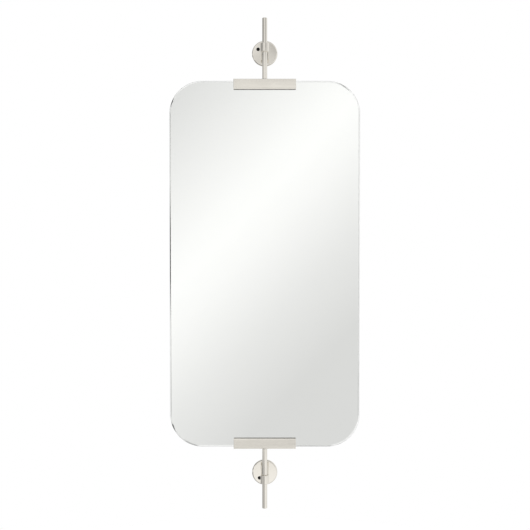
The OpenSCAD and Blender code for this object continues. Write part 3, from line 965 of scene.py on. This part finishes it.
# what lies in the clamps: the node's ending, its slot, its material and the softening of its edges
clampParts = {
    "clamp_bar": ("satin_nickel", "bar", 0.35),
    "front_gasket": ("gasket_rubber", "gasket", 0.15),
    "rear_gasket": ("gasket_rubber", "gasket", 0.15),
    "pressure_strip": ("plain_steel", "steel", 0.2),
}
for end in sides:
    for part, (slotName, material, edge) in clampParts.items():
        node = end + "_" + part
        mesh = meshFrom(softened(node, edge), node, 30)
        addPiece(node + ".dressed", mesh, "mirror", slotName, material, node)
print("clamps and strips made")

# The mirror shows this: tone against distance across the diagonal, in pixels of the photograph.
# The eight tones, their direction and the tint were read from the photograph's brightness.
sheen = {
    "acrossX": 0.722, "acrossZ": 0.692, "pixelsPerSlope": 831.6,
    "tones": ((-212, 0.70), (-180, 0.73), (-70, 0.965), (-48, 0.985), (-20, 0.943), (44, 0.794),
              (108, 0.685), (208, 0.684)),
    "tint": (1.001, 1.001, 0.997), "glassLoss": 0.94,
    "halfX": 0.13, "halfZ": 0.2225, "middleZ": -0.0225, "soft": 0.003, "leastAhead": 0.001, "fade": 0.1,
}
# The studio round that, in bands one above the other. Each has the degrees above the level at
# which it begins, how soft that border is, and tones against degrees right of the camera's side.
# They were set against the brightness of the metal in the photograph, for that view.
rightWall = ((40, 0.98), (95, 0.96), (180, 0.85))
walls = (
    (-90.0, 0.0, ((-180, 0.62), (-60, 0.50), (-20, 0.58), (20, 0.68), (60, 0.96), (180, 0.85))),
    (-42.0, 12.0, ((-180, 0.80), (-120, 0.30), (-60, 0.34), (-20, 0.90), (100, 1.05), (180, 0.85))),
    (-18.6, 0.8, ((-180, 0.70), (-110, 0.42), (-50, 0.66), (-25, 0.52), (-7, 0.42), (-3, 1.10), (6, 1.12),
                  (20, 1.06), (100, 1.0), (180, 0.8))),
    (-14.0, 0.8, ((-180, 0.90), (-100, 0.75), (-60, 0.72), (-32, 1.12), (-14, 1.12), (-8, 0.88), (0, 0.88),
                  (8, 0.89), (14, 0.97)) + rightWall),
    (-5.2, 2.0, ((-180, 0.80), (-140, 0.22), (-50, 0.22), (-32, 1.12), (-14, 1.12), (-8, 0.82), (0, 0.82),
                 (8, 0.83), (14, 0.97)) + rightWall),
    (4.2, 2.0, ((-180, 0.80), (-100, 0.45), (-60, 0.70), (-32, 1.08), (-14, 1.08), (-8, 0.82), (0, 0.82),
                (8, 0.83), (14, 0.88)) + rightWall),
    (12.85, 0.3, ((-180, 0.60), (-110, 0.38), (-50, 0.45), (-30, 0.95), (-0.4, 1.04), (0.4, 0.54), (50, 0.66),
                  (95, 0.95), (180, 0.95))),
    (18.5, 1.8, ((-180, 0.90), (-120, 0.36), (-60, 0.40), (-20, 1.0), (100, 1.12), (180, 1.0))),
    (40.0, 15.0, ((-180, 0.70), (-60, 0.60), (0, 0.70), (60, 0.74), (120, 0.90), (180, 0.80))),
)
# Three dark screens in it at eye level, each with its middle and half its width in degrees. The
# first shows in the left bevel of the glass, the others beside the posts.
studio = {"screens": ((23.5, 5.5), (13.1, 1.1), (-14.8, 3.0)), "dark": 0.03, "sideSoft": 0.6,
          "level": -0.5, "rise": 3.2, "soft": 1.6}


# a band of tones along a value, as a color ramp
def toneBand(tree, value, tones, tint=(1, 1, 1)):
    first, last = tones[0][0], tones[-1][0]
    ramp = addNode(tree, "ShaderNodeValToRGB", {"Fac": remap(tree, value, first, last)})
    stops = ramp.color_ramp.elements
    for i, (position, tone) in enumerate(tones):
        at = (position - first) / (last - first)
        stop = stops[i] if i < 2 else stops.new(at)
        stop.position = at
        stop.color = (*(tone * c for c in tint), 1)
    return ramp.outputs["Color"]


# one where the value lies within a half width of a middle, soft at its ends
def within(tree, value, middle, half, soft):
    off = calc(tree, "ABSOLUTE", minus(tree, value, middle))
    return remap(tree, off, half - soft, half + soft, 1.0, 0.0)


# White to the camera. What lights the pieces and shows in them is a studio: the diagonal sheen
# behind the camera, the bands of tones round it, and the dark screens.
def makeWorld():
    world = bpy.data.worlds.new("studio")
    scene.world = world
    world.use_nodes = True
    tree = world.node_tree
    tree.nodes.clear()
    parts = addNode(tree, "ShaderNodeSeparateXYZ", {
        "Vector": addNode(tree, "ShaderNodeTexCoord").outputs["Generated"]}).outputs
    ahead = times(tree, parts["Y"], -1.0)
    depth = calc(tree, "MAXIMUM", ahead, sheen["leastAhead"])
    slopeX = calc(tree, "DIVIDE", parts["X"], depth)
    slopeZ = calc(tree, "DIVIDE", parts["Z"], depth)
    level = minus(tree, slopeZ, sheen["middleZ"])
    scale = sheen["pixelsPerSlope"]
    across = minus(tree, times(tree, slopeX, sheen["acrossX"] * scale),
                   times(tree, level, sheen["acrossZ"] * scale))
    tint = [c / sheen["glassLoss"] for c in sheen["tint"]]
    mirrored = toneBand(tree, across, sheen["tones"], tint)
    turn = times(tree, calc(tree, "ARCTAN2", parts["X"], ahead), 180 / math.pi)
    rise = times(tree, calc(tree, "ARCSINE", parts["Z"]), 180 / math.pi)
    shown = toneBand(tree, turn, walls[0][2])
    for above, soft, tones in walls[1:]:
        reached = remap(tree, rise, above - soft, above + soft)
        shown = mixColors(tree, reached, shown, toneBand(tree, turn, tones))
    atEye = within(tree, rise, studio["level"], studio["rise"], studio["soft"])
    for middle, half in studio["screens"]:
        screen = times(tree, within(tree, turn, middle, half, studio["sideSoft"]), atEye)
        shown = mixColors(tree, screen, shown, (studio["dark"],) * 3 + (1,))
    window = times(tree, within(tree, slopeX, 0.0, sheen["halfX"], sheen["soft"]),
                   within(tree, slopeZ, sheen["middleZ"], sheen["halfZ"], sheen["soft"]))
    window = times(tree, window, remap(tree, ahead, 0.0, sheen["fade"]))
    shown = mixColors(tree, window, shown, mirrored)
    seen = addNode(tree, "ShaderNodeBackground", {"Color": (1, 1, 1, 1), "Strength": 1.0})
    unseen = addNode(tree, "ShaderNodeBackground", {"Color": shown, "Strength": 1.0})
    toCamera = addNode(tree, "ShaderNodeLightPath").outputs["Is Camera Ray"]
    both = addNode(tree, "ShaderNodeMixShader", {
        0: toCamera, 1: unseen.outputs["Background"], 2: seen.outputs["Background"]})
    addNode(tree, "ShaderNodeOutputWorld", {"Surface": both.outputs["Shader"]})


# a soft light that shows in no reflection: the studio's walls are what the metal shows
def addLight(name, kind, place, aim, energy, size=None, angle=None):
    data = bpy.data.lights.new(name, kind)
    data.energy = energy
    if size:
        data.shape = "RECTANGLE"
        data.size, data.size_y = size
    if angle:
        data.angle = math.radians(angle)
    light = addObject(name, data)
    light.location = place
    light.rotation_euler = (Vector(aim) - Vector(place)).to_track_quat("-Z", "Y").to_euler()
    light.visible_glossy = False
    light.visible_transmission = False


floor = {"radius": 2.0, "z": -1.3, "rings": 4, "tone": 0.86, "drift": 0.02, "patch": 1.5}


# a plain pale floor: a disc of rings with a faint mottling, hidden from reflections
def makeFloor():
    rings = [(floor["radius"] * k / floor["rings"], 0) for k in range(floor["rings"] + 1)]
    work = turned(rings, lambda a, b, h: (a, b, floor["z"]), 96)
    mesh = meshFrom(work, "floor")
    material, tree, shader = newMaterial("paleFloor", Roughness=0.9)
    tone = floor["tone"]
    drift = twoTones(tree, (tone,) * 3, (tone - floor["drift"],) * 3, floor["patch"])
    tree.links.new(drift["Color"], shader["Base Color"])
    mesh.materials.append(material)
    piece = addObject("floor", mesh)
    piece.visible_glossy = False


# the camera stands a little above the middle of the glass and looks down at it by over a degree
view = {"distance": 2.0, "pictureWidth": 1.2747, "x": 0.0006, "z": 0.045, "aimZ": -0.0008, "sensor": 36.0}


def makeCamera():
    low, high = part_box("mirror_glass")
    data = bpy.data.cameras.new("camera")
    data.sensor_width = view["sensor"]
    data.lens = view["sensor"] * view["distance"] / view["pictureWidth"]
    camera = addObject("camera", data)
    camera.location = (view["x"], low.y - view["distance"], view["z"])
    drop = math.atan2(view["z"] - view["aimZ"], view["distance"])
    camera.rotation_euler = (math.pi / 2 - drop, 0, 0)
    scene.camera = camera


makeWorld()
makeFloor()
makeCamera()
aim = (0, 0, 0)
addLight("keySoftbox", "AREA", (1.7, -2.0, 1.3), aim, energy=30.0, size=(0.9, 1.6))
addLight("fillSoftbox", "AREA", (-2.2, -1.6, 0.4), aim, energy=8.0, size=(0.6, 1.2))
addLight("topLight", "SUN", (0, -0.5, 3), aim, energy=1.6, angle=25)
scene.view_settings.view_transform = "Standard"
print("studio ready")
